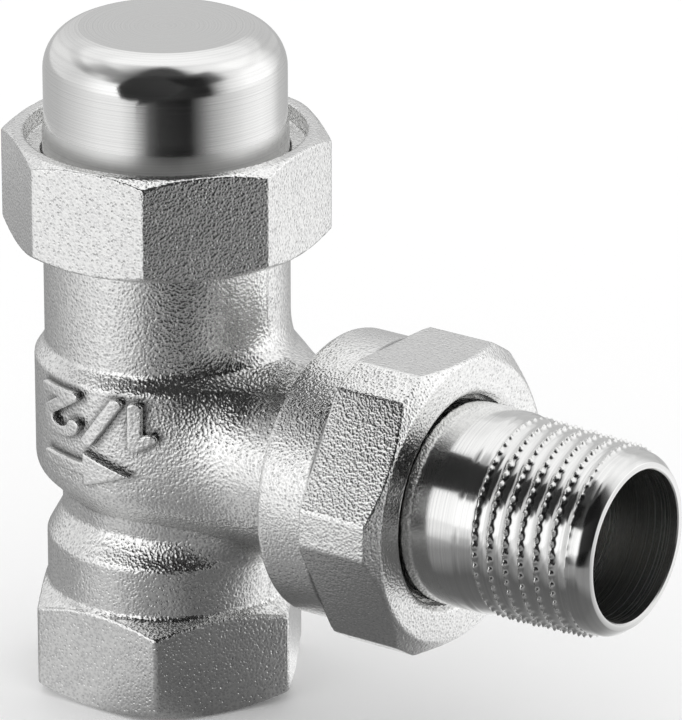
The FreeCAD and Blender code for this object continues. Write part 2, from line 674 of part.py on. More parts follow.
turn(union_nut, [
    (union_rim, face_out), (union_far, face_out - (union_far - union_rim) * s.union_chamfer),
    (union_far, face_out),
], cut=True)
turn(union_nut, [
    (0, band_low), (union_bore + 0.6, band_low), (union_bore, band_low + 0.6), (union_bore, collar_out),
    (union_hole, collar_out), (union_hole, face_out - s.union_hole_chamfer),
    (union_hole + s.union_hole_chamfer, face_out), (0, face_out),
], cut=True)
sideways(union_nut)

# Every piece is checked and written
doc.recompute()
os.makedirs("parts", exist_ok=True)
pieces = [
    valve_body, bonnet, bonnet_gasket, thrust_washer, spindle_seal_lower, spindle_seal_upper, gland_nut,
    disc_holder, disc_clip, disc_seal, disc_screw, spindle, cap_gasket, cap, cap_nut,
    tail_gasket, tail_piece, union_nut,
]
for thing in doc.Objects:
    if "Invalid" in thing.State or "Error" in thing.State:
        raise RuntimeError("%s did not rebuild" % thing.Label)
for piece in pieces:
    shape = piece.Shape
    if shape.isNull() or not shape.isValid() or len(shape.Solids) != 1:
        raise RuntimeError("%s is not one sound solid" % piece.Label)
    shape.exportStep("parts/%s.step" % piece.Label)
    box = shape.BoundBox
    print("%-20s %9.1f mm3  x %7.2f %7.2f  y %7.2f %7.2f  z %7.2f %7.2f" % (
        piece.Label, shape.Volume, box.XMin, box.XMax, box.YMin, box.YMax, box.ZMin, box.ZMax))
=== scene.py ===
import bpy
import math
import numpy as np
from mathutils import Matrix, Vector


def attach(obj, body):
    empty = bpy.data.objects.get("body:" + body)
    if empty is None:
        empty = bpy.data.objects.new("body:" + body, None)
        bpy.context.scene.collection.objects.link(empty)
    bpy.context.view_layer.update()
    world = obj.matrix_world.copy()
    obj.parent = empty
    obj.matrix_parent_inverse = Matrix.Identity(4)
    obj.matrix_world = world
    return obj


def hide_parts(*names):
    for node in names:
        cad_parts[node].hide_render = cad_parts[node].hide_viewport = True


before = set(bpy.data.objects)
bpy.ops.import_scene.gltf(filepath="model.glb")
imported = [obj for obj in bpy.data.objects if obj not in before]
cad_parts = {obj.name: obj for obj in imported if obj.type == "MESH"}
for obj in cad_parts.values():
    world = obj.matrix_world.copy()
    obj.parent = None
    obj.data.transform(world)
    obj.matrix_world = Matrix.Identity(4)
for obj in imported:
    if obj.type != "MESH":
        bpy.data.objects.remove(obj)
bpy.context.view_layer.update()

# Outlines are in millimetres and become metres when a mesh is made
milli = 0.001
fullTurn = 2 * math.pi
pastAxis = -5  # outlines close this far beyond the axis they are turned about
nowhere = 1e9  # farther off than anything


# Distance forms, negative inside


def softMin(a, b, k):
    h = np.clip(0.5 + 0.5 * (b - a) / k, 0.0, 1.0)
    return b * (1 - h) + a * h - k * h * (1 - h)


def softMax(a, b, k):
    return -softMin(-a, -b, k)


def roundCorners(corners, steps=6):
    # Each corner is across, along and an optional rounding
    count = len(corners)
    out = []
    for i in range(count):
        p = np.array(corners[i][:2], float)
        if len(corners[i]) < 3:
            out.append(p)
            continue
        a = np.array(corners[i - 1][:2], float) - p
        b = np.array(corners[(i + 1) % count][:2], float) - p
        a, b = a / np.linalg.norm(a), b / np.linalg.norm(b)
        half = math.acos(max(-1.0, min(1.0, float(a @ b)))) / 2
        reach = corners[i][2] / math.tan(half)
        middle = p + (a + b) / np.linalg.norm(a + b) * corners[i][2] / math.sin(half)
        start, end = p + a * reach - middle, p + b * reach - middle
        sweep = math.atan2(start[0] * end[1] - start[1] * end[0], float(start @ end))
        for j in range(steps + 1):
            c, s = math.cos(sweep * j / steps), math.sin(sweep * j / steps)
            out.append(middle + np.array([c * start[0] - s * start[1], s * start[0] + c * start[1]]))
    return np.array(out)


def outlineDistance(u, v, outline):
    best = np.full(u.shape, nowhere)
    inside = np.zeros(u.shape, bool)
    for i in range(len(outline)):
        (ax, ay), (bx, by) = outline[i - 1], outline[i]
        ex, ey = bx - ax, by - ay
        wx, wy = u - ax, v - ay
        t = np.clip((wx * ex + wy * ey) / max(ex * ex + ey * ey, 1e-12), 0.0, 1.0)
        best = np.minimum(best, (wx - ex * t) ** 2 + (wy - ey * t) ** 2)
        if ay != by:
            inside ^= ((ay > v) != (by > v)) & (u < ex * (v - ay) / ey + ax)
    best = np.sqrt(best)
    return np.where(inside, -best, best)


def strokeDistance(u, v, line, width):
    best = np.full(u.shape, nowhere)
    for (ax, ay), (bx, by) in zip(line[:-1], line[1:]):
        ex, ey = bx - ax, by - ay
        t = np.clip(((u - ax) * ex + (v - ay) * ey) / (ex * ex + ey * ey), 0.0, 1.0)
        best = np.minimum(best, np.hypot(u - ax - ex * t, v - ay - ey * t))
    return best - width


def flatSides(form, u, v, count, half, startTurn, edge):
    # Cuts a form by evenly turned flats at the same distance from the axis
    for i in range(count):
        turn = math.radians(startTurn + 360 / count * i)
        form = softMax(form, u * math.cos(turn) + v * math.sin(turn) - half, edge)
    return form


def slopes(form, points, step=0.02):
    out = np.zeros(points.shape)
    for axis in range(3):
        shift = np.zeros(3)
        shift[axis] = step
        out[:, axis] = form(points + shift) - form(points - shift)
    return out / (2 * step)


# Meshes


def finishMesh(name, points, quads, normals=None):
    mesh = bpy.data.meshes.new(name)
    mesh.vertices.add(len(points))
    mesh.vertices.foreach_set("co", (points * milli).astype(np.float32).ravel())
    mesh.loops.add(quads.size)
    mesh.loops.foreach_set("vertex_index", quads.ravel().astype(np.int32))
    mesh.polygons.add(len(quads))
    mesh.polygons.foreach_set("loop_start", np.arange(0, quads.size, 4, dtype=np.int32))
    mesh.update(calc_edges=True)
    mesh.validate()
    mesh.shade_smooth()
    if normals is not None:
        mesh.normals_split_custom_set_from_vertices(normals.tolist())
    piece = bpy.data.objects.new(name, mesh)
    bpy.context.scene.collection.objects.link(piece)
    return piece


cellCorners = [(x, y, z) for x in (0, 1) for y in (0, 1) for z in (0, 1)]


def sampleGrid(form, lines, step, coarse=4, chunk=400000):
    # A coarse pass finds what lies near the surface, and only that is worked out finely
    rough = np.stack(np.meshgrid(*[line[::coarse] for line in lines], indexing="ij"), -1)
    grid = form(rough.reshape(-1, 3)).reshape(rough.shape[:3])
    for axis in range(3):
        grid = grid.repeat(coarse, axis)
    grid = np.ascontiguousarray(grid[tuple(slice(0, len(line)) for line in lines)])
    near = np.abs(grid) < step * coarse * 2.0
    spots = np.argwhere(near)
    values = np.empty(len(spots))
    for first in range(0, len(spots), chunk):
        pick = spots[first:first + chunk]
        values[first:first + chunk] = form(np.stack([lines[a][pick[:, a]] for a in range(3)], 1))
    grid[near] = values
    return grid


def cellCrossings(grid, cells):
    # The middle of the places where a cell's edges cross the surface
    levels = [grid[cells[:, 0] + x, cells[:, 1] + y, cells[:, 2] + z] for x, y, z in cellCorners]
    levels = np.stack(levels, 1)
    sums, hits = np.zeros((len(cells), 3)), np.zeros(len(cells))
    for i, a in enumerate(cellCorners):
        for j, b in enumerate(cellCorners):
            if j <= i or sum(abs(p - q) for p, q in zip(a, b)) != 1:
                continue
            crosses = (levels[:, i] < 0) != (levels[:, j] < 0)
            gap = np.where(crosses, levels[:, i] - levels[:, j], 1.0)
            t = np.where(crosses, levels[:, i] / gap, 0.0)
            spot = np.array(a) + t[:, None] * (np.array(b) - np.array(a))
            sums += np.where(crosses[:, None], spot, 0.0)
            hits += crosses
    return sums / hits[:, None]


def netQuads(inside, number):
    # One quad for each grid edge that crosses the surface, turned to face outwards
    faces = []
    for axis in range(3):
        b, c = (axis + 1) % 3, (axis + 2) % 3
        first = [slice(1, -1)] * 3
        first[axis] = slice(0, -1)
        second = list(first)
        second[axis] = slice(1, None)
        at = np.argwhere(inside[tuple(first)] != inside[tuple(second)])
        at[:, b] += 1
        at[:, c] += 1
        quad = []
        for ob, oc in ((-1, -1), (0, -1), (0, 0), (-1, 0)):
            where = at.copy()
            where[:, b] += ob
            where[:, c] += oc
            quad.append(number[tuple(where.T)])
        quad = np.stack(quad, 1)
        leaving = inside[tuple(at.T)]
        quad[~leaving] = quad[~leaving][:, ::-1]
        faces.append(quad)
    faces = np.concatenate(faces)
    return faces[(faces >= 0).all(1)]


def netMesh(name, form, low, high, step):
    # Meshes the zero surface of a form on a grid, then pulls each corner onto the surface
    counts = [int(math.ceil((h - l) / step)) + 1 for l, h in zip(low, high)]
    lines = [low[a] + step * np.arange(counts[a]) for a in range(3)]
    grid = sampleGrid(form, lines, step)
    inside = grid < 0
    cut = [slice(0, -1), slice(1, None)]
    total = sum(inside[cut[x], cut[y], cut[z]].astype(np.int8) for x, y, z in cellCorners)
    cells = np.argwhere((total > 0) & (total < 8))
    number = np.full(total.shape, -1, np.int64)
    number[tuple(cells.T)] = np.arange(len(cells))
    points = np.array(low) + (cells + cellCrossings(grid, cells)) * step
    for pull in range(3):
        slope = slopes(form, points)
        length = np.maximum((slope ** 2).sum(1), 0.05)
        move = -(form(points) / length)[:, None] * slope
        points += np.clip(move, -step * 0.4, step * 0.4)
    normals = slopes(form, points)
    normals /= np.maximum(np.linalg.norm(normals, axis=1), 1e-9)[:, None]
    return finishMesh(name, points, netQuads(inside, number), normals)


def gridMesh(name, points):
    # Points are rows by columns, and both close on themselves
    rows, columns = points.shape[:2]
    index = np.arange(rows * columns).reshape(rows, columns)
    quads = []
    for i in range(rows):
        low, high = index[i], index[(i + 1) % rows]
        quads.append(np.stack([low, np.roll(low, -1), np.roll(high, -1), high], 1))
    return finishMesh(name, points.reshape(-1, 3), np.concatenate(quads))


def turnedMesh(name, outline, segments, sharp):
    # Turns a closed outline about the valve axis
    turns = np.linspace(0, fullTurn, segments, endpoint=False)
    r, h = outline[:, :1], outline[:, 1:]
    piece = gridMesh(name, np.stack([r * np.cos(turns), r * np.sin(turns), h + 0 * turns], -1))
    piece.data.set_sharp_from_angle(angle=math.radians(sharp))
    return piece


def cornersOf(piece):
    flat = np.empty(len(piece.data.vertices) * 3, np.float32)
    piece.data.vertices.foreach_get("co", flat)
    return flat.reshape(-1, 3).astype(float) / milli


# Painted shade: full strength at the edge, fading out over the given width
def shadeNear(away, look):
    strength, width = look
    return strength - away / width


def paintPoints(piece, label, amount):
    layer = piece.data.attributes.new(label, "FLOAT", "POINT")
    layer.data.foreach_set("value", np.clip(amount, 0, 1).astype(np.float32))


# Shader helpers


def newGroup(name, inputs, outputs):
    group = bpy.data.node_groups.new(name, "ShaderNodeTree")
    for label, value in inputs:
        socket = group.interface.new_socket(label, in_out="INPUT", socket_type="NodeSocketFloat")
        socket.default_value = value
    for label in outputs:
        kind = "NodeSocketVector" if label == "Normal" else "NodeSocketFloat"
        group.interface.new_socket(label, in_out="OUTPUT", socket_type=kind)
    return group, group.nodes.new("NodeGroupInput"), group.nodes.new("NodeGroupOutput")


def addNode(tree, kind, **settings):
    node = tree.nodes.new(kind)
    for key, value in settings.items():
        setattr(node, key, value)
    return node


def addMath(tree, operation, a, b=None):
    node = addNode(tree, "ShaderNodeMath", operation=operation)
    for place, value in enumerate((a, b)):
        if value is None:
            continue
        if isinstance(value, (int, float)):
            node.inputs[place].default_value = value
        else:
            tree.links.new(value, node.inputs[place])
    return node.outputs[0]


def addLength(tree, a, b):
    squares = [addMath(tree, "MULTIPLY", value, value) for value in (a, b)]
    return addMath(tree, "SQRT", addMath(tree, "ADD", *squares))


def addTexture(tree, kind, place, scale, **values):
    node = addNode(tree, kind)
    tree.links.new(place, node.inputs["Vector"])
    for label, value in {"Scale": scale, **values}.items():
        if isinstance(value, float):
            node.inputs[label].default_value = value
        else:
            tree.links.new(value, node.inputs[label])
    return node


def addBump(tree, height, end):
    bump = addNode(tree, "ShaderNodeBump")
    bump.inputs["Distance"].default_value = 1.0
    bump.inputs["Strength"].default_value = 1.0
    tree.links.new(height, bump.inputs["Height"])
    tree.links.new(bump.outputs[0], end.inputs["Normal"])


def makeRamp(tree, source, spots):
    ramp = addNode(tree, "ShaderNodeValToRGB")
    while len(ramp.color_ramp.elements) < len(spots):
        ramp.color_ramp.elements.new(0.5)
    for element, (place, tone) in zip(ramp.color_ramp.elements, spots):
        element.position = place
        element.color = (*tone, 1.0) if isinstance(tone, tuple) else (tone, tone, tone, 1.0)
    tree.links.new(source, ramp.inputs[0])
    return ramp.outputs[0]


def blendTones(tree, amount, first, second):
    blend = addNode(tree, "ShaderNodeMix", data_type="RGBA")
    for label, value in (("A", first), ("B", second)):
        if isinstance(value, tuple):
            blend.inputs[label].default_value = (*value, 1)
        else:
            tree.links.new(value, blend.inputs[label])
    tree.links.new(amount, blend.inputs["Factor"])
    return blend.outputs["Result"]


# Grain of forged and blasted skins: shares and factors, and the seam's wander in metres
grainForm = {
    "cellShare": 0.7, "gritShare": 0.22, "gritFiner": 2.6, "heightShare": 0.72,
    "craterWider": 0.7, "craterFloor": 0.12, "craterRim": 0.4,
    "broadPerMetre": 350.0, "seamWander": 0.0002, "seamSharp": 4500.0,
}


def makeGrainGroup():
    # Cells, grit and craters, broad unevenness, and a parting seam along the valve's middle
    group, start, end = newGroup(
        "metalGrain",
        [("Grain", 0.4), ("Depth", 0.03), ("Broad", 0.02), ("Pit", 0.0), ("Seam", 0.0)],
        ["Normal", "Height", "Patches", "Pits"],
    )
    link = group.links.new
    place = addNode(group, "ShaderNodeTexCoord").outputs["Object"]
    scale = addMath(group, "DIVIDE", 1000.0, start.outputs["Grain"])
    cells = addTexture(group, "ShaderNodeTexNoise", place, scale, Detail=2.0, Roughness=0.55)
    pits = addNode(group, "ShaderNodeTexVoronoi", feature="SMOOTH_F1")
    pits.inputs["Smoothness"].default_value = 0.5
    link(place, pits.inputs["Vector"])
    link(scale, pits.inputs["Scale"])
    broad = addTexture(group, "ShaderNodeTexNoise", place, grainForm["broadPerMetre"], Detail=3.0)
    gritScale = addMath(group, "MULTIPLY", scale, grainForm["gritFiner"])
    grit = addTexture(group, "ShaderNodeTexNoise", place, gritScale, Detail=1.0)
    cellPart = addMath(group, "MULTIPLY", cells.outputs[0], grainForm["cellShare"])
    gritPart = addMath(group, "MULTIPLY", grit.outputs[0], grainForm["gritShare"])
    fine = addMath(group, "ADD", addMath(group, "ADD", cellPart, pits.outputs["Distance"]), gritPart)
    craterScale = addMath(group, "MULTIPLY", scale, grainForm["craterWider"])
    craters = addTexture(group, "ShaderNodeTexVoronoi", place, craterScale)
    crater = addNode(group, "ShaderNodeMapRange", interpolation_type="SMOOTHSTEP")
    crater.inputs["From Min"].default_value = grainForm["craterFloor"]
    crater.inputs["From Max"].default_value = grainForm["craterRim"]
    crater.inputs["To Min"].default_value = 1.0
    crater.inputs["To Max"].default_value = 0.0
    link(craters.outputs["Distance"], crater.inputs["Value"])
    sunk = addMath(group, "MULTIPLY", crater.outputs[0], start.outputs["Pit"])
    deep = addMath(group, "SUBTRACT", addMath(group, "MULTIPLY", fine, start.outputs["Depth"]), sunk)
    wide = addMath(group, "MULTIPLY", broad.outputs[0], start.outputs["Broad"])
    split = addNode(group, "ShaderNodeSeparateXYZ")
    link(place, split.inputs[0])
    wander = addMath(group, "MULTIPLY", broad.outputs[0], grainForm["seamWander"])
    across = addMath(group, "ABSOLUTE", addMath(group, "ADD", split.outputs[1], wander))
    ridge = addMath(group, "SUBTRACT", 1.0, addMath(group, "MULTIPLY", across, grainForm["seamSharp"]))
    ridge = addMath(group, "MULTIPLY", addMath(group, "MAXIMUM", ridge, 0.0), start.outputs["Seam"])
    height = addMath(group, "ADD", addMath(group, "ADD", deep, wide), ridge)
    addBump(group, addMath(group, "MULTIPLY", height, milli), end)
    link(addMath(group, "MULTIPLY", fine, grainForm["heightShare"]), end.inputs["Height"])
    link(broad.outputs[0], end.inputs["Patches"])
    link(crater.outputs[0], end.inputs["Pits"])
    return group


def makeLatheGroup(outletHeight=0.028):
    # Turning lines that run round the valve axis or round the outlet
    group, start, end = newGroup(
        "latheLines",
        [("Outlet", 0.0), ("Depth", 0.004), ("Pitch", 0.12)],
        ["Normal", "Lines", "Rise", "Reach"],
    )
    link = group.links.new
    place = addNode(group, "ShaderNodeTexCoord").outputs["Object"]
    split = addNode(group, "ShaderNodeSeparateXYZ")
    link(place, split.inputs[0])
    x, y, z = split.outputs
    upright = addLength(group, x, y)
    level = addLength(group, addMath(group, "SUBTRACT", z, outletHeight), y)
    keep = addMath(group, "SUBTRACT", 1.0, start.outputs["Outlet"])
    first = addMath(group, "MULTIPLY", addMath(group, "ADD", upright, z), keep)
    second = addMath(group, "MULTIPLY", addMath(group, "ADD", level, x), start.outputs["Outlet"])
    lines = addNode(group, "ShaderNodeTexNoise", noise_dimensions="1D")
    lines.inputs["Detail"].default_value = 3.0
    lines.inputs["Roughness"].default_value = 0.65
    link(addMath(group, "ADD", first, second), lines.inputs["W"])
    link(addMath(group, "DIVIDE", 1000.0, start.outputs["Pitch"]), lines.inputs["Scale"])
    height = addMath(group, "MULTIPLY", lines.outputs[0], start.outputs["Depth"])
    addBump(group, addMath(group, "MULTIPLY", height, milli), end)
    link(lines.outputs[0], end.inputs["Lines"])
    link(addMath(group, "MULTIPLY", z, 1000.0), end.inputs["Rise"])
    link(addMath(group, "MULTIPLY", level, 1000.0), end.inputs["Reach"])
    return group


grainGroup = makeGrainGroup()
latheGroup = makeLatheGroup()


def useGroup(tree, group, **values):
    node = addNode(tree, "ShaderNodeGroup", node_tree=group)
    for key, value in values.items():
        node.inputs[key].default_value = value
    return node


def newMaterial(name):
    material = bpy.data.materials.new(name)
    material.use_nodes = True
    tree = material.node_tree
    return material, tree, tree.nodes["Principled BSDF"]


# Broad random patches vary the tone; painted shade blends it towards the dark tone where the shade attribute
# is painted and in the grain's craters
patchesAndShade = {"patchShare": 0.3, "shadeShare": 0.7, "tone": (0.05, 0.05, 0.05)}


def grainMetal(name, look):
    material, tree, shader = newMaterial(name)
    grain = useGroup(tree, grainGroup, Grain=look["grain"], Depth=look["depth"], Broad=look["broad"],
                     Pit=look["pit"], Seam=look["seam"])
    shader.inputs["Metallic"].default_value = 1.0
    # The tone follows the grain's height, so its hollows are darker as painted shade, with broad random
    # patches on top
    patches = addMath(tree, "MULTIPLY", grain.outputs["Patches"], patchesAndShade["patchShare"])
    hollowShadeAndPatches = addMath(tree, "ADD", grain.outputs["Height"], patches)
    paintedShade = addNode(tree, "ShaderNodeAttribute", attribute_name="paintedShade")  # painted shade round the marks and their roots, and where the union nut's facets meet its band
    creaseShade = addMath(tree, "MULTIPLY", paintedShade.outputs["Fac"], patchesAndShade["shadeShare"])
    # Painted shade in the grain's craters
    pitted = addMath(tree, "MULTIPLY", grain.outputs["Pits"], look["hollowShade"])
    hollowShade = addMath(tree, "MAXIMUM", creaseShade, pitted)
    tone = blendTones(tree, hollowShade, makeRamp(tree, hollowShadeAndPatches, look["tones"]), patchesAndShade["tone"])
    tree.links.new(tone, shader.inputs["Base Color"])
    tree.links.new(makeRamp(tree, grain.outputs["Height"], look["rough"]), shader.inputs["Roughness"])
    tree.links.new(grain.outputs["Normal"], shader.inputs["Normal"])
    return material


turning = {
    "satinFade": 0.25, "satinRough": [(0.0, 0.46), (0.45, 0.36), (0.62, 0.0)],
    "brushed": 0.4, "brushedTurn": 0.25,
    "scoredRough": [(0.35, 0.32), (0.65, 0.12)], "burrRough": 0.5,
}


def turnedMetal(name, look):
    material, tree, shader = newMaterial(name)
    lathe = useGroup(tree, latheGroup, Outlet=look["outlet"], Depth=look["depth"], Pitch=look["pitch"])
    shader.inputs["Metallic"].default_value = 1.0
    lines = lathe.outputs["Lines"]
    tone = makeRamp(tree, lines, look["tones"])
    dull = makeRamp(tree, lines, look["rough"])
    if "satin" in look:  # a duller foot below this height
        above = addMath(tree, "SUBTRACT", lathe.outputs["Rise"], look["satin"])
        fade = addMath(tree, "MULTIPLY", above, turning["satinFade"])
        dull = addMath(tree, "MAXIMUM", dull, makeRamp(tree, fade, turning["satinRough"]))
        tangent = addNode(tree, "ShaderNodeTangent", direction_type="RADIAL", axis="Z")
        tree.links.new(tangent.outputs[0], shader.inputs["Tangent"])
        shader.inputs["Anisotropic"].default_value = turning["brushed"]
        shader.inputs["Anisotropic Rotation"].default_value = turning["brushedTurn"]
    if "bore" in look:  # scored lines inside this radius
        inside = addMath(tree, "LESS_THAN", lathe.outputs["Reach"], look["bore"])
        scored = makeRamp(tree, lines, turning["scoredRough"])
        dull = addMath(tree, "MAXIMUM", dull, addMath(tree, "MULTIPLY", inside, scored))
    if "burrHighlight" in look:  # torn crests painted on the thread, rougher and lighter as a painted highlight
        burrHighlight = addNode(tree, "ShaderNodeAttribute", attribute_name="burrHighlight").outputs["Fac"]
        tone = blendTones(tree, burrHighlight, tone, look["burrHighlight"])
        dull = addMath(tree, "MAXIMUM", dull, addMath(tree, "MULTIPLY", burrHighlight, turning["burrRough"]))
    tree.links.new(tone, shader.inputs["Base Color"])
    tree.links.new(dull, shader.inputs["Roughness"])
    tree.links.new(lathe.outputs["Normal"], shader.inputs["Normal"])
    return material


def softStuff(name, look):
    material, tree, shader = newMaterial(name)
    grain = useGroup(tree, grainGroup, Grain=look["grain"], Depth=look["depth"], Broad=0.01)
    tree.links.new(makeRamp(tree, grain.outputs["Height"], look["tones"]), shader.inputs["Base Color"])
    shader.inputs["Roughness"].default_value = look["rough"]
    tree.links.new(grain.outputs["Normal"], shader.inputs["Normal"])
    return material


# Finishes
forgedNickel = grainMetal("forgedNickel", {
    "grain": 0.32, "depth": 0.047, "broad": 0.04, "seam": 0.04, "pit": 0.028, "hollowShade": 0.16,
    "tones": [(0.58, (0.69, 0.69, 0.69)), (0.8, (0.84, 0.84, 0.835)), (0.98, (0.93, 0.93, 0.92))],
    "rough": [(0.45, 0.22), (0.8, 0.13)],
})
markNickel = grainMetal("markNickel", {
    "grain": 0.36, "depth": 0.04, "broad": 0.06, "seam": 0.0, "pit": 0.02, "hollowShade": 0.08,
    "tones": [(0.58, (0.76, 0.76, 0.76)), (0.8, (0.86, 0.86, 0.855)), (0.98, (0.92, 0.92, 0.91))],
    "rough": [(0.45, 0.28), (0.8, 0.17)],
})
blastedNickel = grainMetal("blastedNickel", {
    "grain": 0.29, "depth": 0.045, "broad": 0.03, "seam": 0.0, "pit": 0.03, "hollowShade": 0.16,
    "tones": [(0.58, (0.78, 0.78, 0.78)), (0.8, (0.88, 0.88, 0.875)), (0.98, (0.94, 0.94, 0.93))],
    "rough": [(0.45, 0.24), (0.8, 0.14)],
})
capNickel = turnedMetal("capNickel", {
    "outlet": 0.0, "depth": 0.0012, "pitch": 0.16, "satin": 60.6,
    "tones": [(0.3, (0.78, 0.78, 0.775)), (0.7, (0.90, 0.90, 0.89))],
    "rough": [(0.3, 0.20), (0.7, 0.13)],
})
tailNickel = turnedMetal("tailNickel", {
    "outlet": 1.0, "depth": 0.0015, "pitch": 0.2, "bore": 8.2, "burrHighlight": (0.97, 0.97, 0.96),
    "tones": [(0.3, (0.76, 0.76, 0.755)), (0.7, (0.86, 0.86, 0.85))],
    "rough": [(0.3, 0.16), (0.7, 0.10)],
})
bareBrass = turnedMetal("bareBrass", {
    "outlet": 0.0, "depth": 0.004, "pitch": 0.2,
    "tones": [(0.3, (0.66, 0.47, 0.20)), (0.7, (0.78, 0.58, 0.28))],
    "rough": [(0.3, 0.34), (0.7, 0.24)],
})
springSteel = turnedMetal("springSteel", {
    "outlet": 0.0, "depth": 0.003, "pitch": 0.15,
    "tones": [(0.3, (0.42, 0.42, 0.43)), (0.7, (0.56, 0.56, 0.57))],
    "rough": [(0.3, 0.34), (0.7, 0.26)],
})
sealRubber = softStuff("sealRubber", {
    "grain": 0.3, "depth": 0.015, "rough": 0.55,
    "tones": [(0.3, (0.018, 0.018, 0.019)), (0.8, (0.04, 0.04, 0.042))],
})
gasketFibre = softStuff("gasketFibre", {
    "grain": 0.25, "depth": 0.03, "rough": 0.75,
    "tones": [(0.3, (0.06, 0.06, 0.065)), (0.8, (0.14, 0.14, 0.145))],
})


def dress(piece, material, body, stands=None):
    piece.data.materials.clear()
    piece.data.materials.append(material)
    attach(piece, body)
    if stands:
        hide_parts(stands)


print("forms and materials ready")

# Valve body: radii about the upright axis, then about the outlet
body = {
    "axis": 28.0, "blend": 5.0, "step": 0.405, "bottom": 1.0, "top": 56.25,
    "edge": 0.3, "hexEdge": 0.35, "hexJoin": 0.5, "spigotJoin": 0.6, "boreEdge": 0.15,
    "foot": 13.0, "waist": 11.3, "belly": 14.05, "neck": 12.95, "collarRoot": 13.75,
    "hexHalf": 13.4, "hexTop": 11.05, "hexCorner": 13.2,
    "lowChamfer": (0.42, 0.907), "highChamfer": (0.55, 0.876),
    "inletBore": 10.9, "seatBore": 6.5, "seatRim": 7.7, "chamber": 10.2, "neckBore": 11.0, "mouth": 11.9,
    "branch": 10.4, "spigotRoot": 12.2, "spigotEnd": 31.4, "way": 7.6,
}
bodyOuter = roundCorners([
    (pastAxis, body["bottom"]), (body["foot"], body["bottom"]), (body["foot"], 16.55, 0.9),
    (body["waist"], 19.65, 1.2), (body["waist"], 21.75, 0.6), (body["belly"], 24.5, 3.0),
    (body["belly"], 36.75, 0.5), (body["neck"], 38.4, 1.0), (body["neck"], 51.05),
    (body["collarRoot"], 52.05), (body["collarRoot"], body["top"]), (pastAxis, body["top"]),
])
bodyInner = roundCorners([
    (pastAxis, -2), (body["inletBore"], -2), (body["inletBore"], 14.0), (body["seatBore"], 16.2),
    (body["seatBore"], 23.3), (body["seatRim"], 23.3), (body["seatRim"], 22.5), (body["chamber"], 22.5),
    (body["chamber"], 40.6), (body["neckBore"], 41.4), (body["neckBore"], 54.25), (body["mouth"], 54.25),
    (body["mouth"], 58), (pastAxis, 58),
])
branchOuter = roundCorners([(0, pastAxis), (26, pastAxis), (26, body["branch"]), (0, body["branch"])])
spigotOuter = roundCorners([
    (22.5, pastAxis), (body["spigotEnd"], pastAxis), (body["spigotEnd"], body["spigotRoot"]),
    (23.2, body["spigotRoot"]), (22.5, 11.5),
])
wayInner = roundCorners([
    (8.4, pastAxis), (33, pastAxis), (33, 10.4), (body["spigotEnd"], 9.0),
    (30.0, body["way"]), (8.4, body["way"]),
])


def bodyForm(p):
    x, y, z = p[:, 0], p[:, 1], p[:, 2]
    r = np.hypot(x, y)
    level = np.hypot(y, z - body["axis"])
    sides = flatSides(np.full(x.shape, -nowhere), x, y, 6, body["hexHalf"], 30, body["hexEdge"])
    lean, rise = body["lowChamfer"]
    low = np.minimum((body["hexCorner"] - r) * lean + z * rise, z)
    lean, rise = body["highChamfer"]
    high = np.minimum(((body["hexTop"] - z) + (body["foot"] - r) * lean) * rise, body["hexTop"] - z)
    hexagon = softMax(softMax(sides, -low, body["edge"]), -high, body["edge"])
    form = softMin(outlineDistance(r, z, bodyOuter), hexagon, body["hexJoin"])
    form = softMin(form, outlineDistance(x, level, branchOuter), body["blend"])
    form = softMin(form, outlineDistance(x, level, spigotOuter), body["spigotJoin"])
    form = softMax(form, -outlineDistance(r, z, bodyInner), body["boreEdge"])
    return softMax(form, -outlineDistance(x, level, wayInner), body["boreEdge"])


valveBody = netMesh("valveBody", bodyForm, (-16.4, -15.8, -0.7), (32.2, 15.8, 57.0), body["step"])
dress(valveBody, forgedNickel, "valve", "valve_body")
print("body", len(valveBody.data.polygons))

# Raised flow arrow and generic size number on the belly, upright with the inlet on top, as cast
marks = {
    "turn": 91.5, "height": 27.9, "relief": 0.8, "edge": 0.26, "root": 0.4, "rootEdge": 0.1, "step": 0.15,
    "rootShade": (1.0, 0.5), "paintedShade": (1.15, 0.62), "shadowShift": (0.15, 0.1), "shadeReach": 1.5,
    "shaft": [(-5.2, 0.0), (1.0, 0.0)], "shaftHalf": 0.7, "head": [(0.0, -1.9), (5.4, 0.0), (0.0, 1.9)],
    "numberAt": (1.1, 5.5), "numberScale": (0.74, 1.04), "strokeHalf": 0.62, "slashHalf": 0.58,
    "one": [(-4.6, 1.2), (-3.5, 2.2), (-3.5, -2.2)], "slash": [(-2.0, -2.4), (0.4, 2.4)],
    "twoFoot": [(4.45, 0.2), (1.8, -2.2), (4.8, -2.2)],
}
twoBow = [(1.7 + 1.45 * (1 - math.cos(t)), 0.8 + 1.4 * math.sin(t)) for t in np.linspace(0.15, 2.9, 10)]


def markDistance(u, v):
    form = strokeDistance(u, v, marks["shaft"], marks["shaftHalf"])
    form = np.minimum(form, outlineDistance(u, v, np.array(marks["head"])))
    a = (marks["numberAt"][0] - u) * marks["numberScale"][0]
    b = (marks["numberAt"][1] - v) * marks["numberScale"][1]
    form = np.minimum(form, strokeDistance(a, b, marks["one"], marks["strokeHalf"]))
    form = np.minimum(form, strokeDistance(a, b, marks["slash"], marks["slashHalf"]))
    return np.minimum(form, strokeDistance(a, b, twoBow + marks["twoFoot"], marks["strokeHalf"]))


def bellyPlace(p):
    turn = np.arctan2(p[:, 1], p[:, 0])
    return (turn + math.radians(marks["turn"])) * body["belly"], p[:, 2] - marks["height"]


def marksForm(p):
    skin = bodyForm(p)
    form = softMax(markDistance(*bellyPlace(p)), skin - marks["relief"], marks["edge"])
    return softMax(form, -skin - marks["root"], marks["rootEdge"])


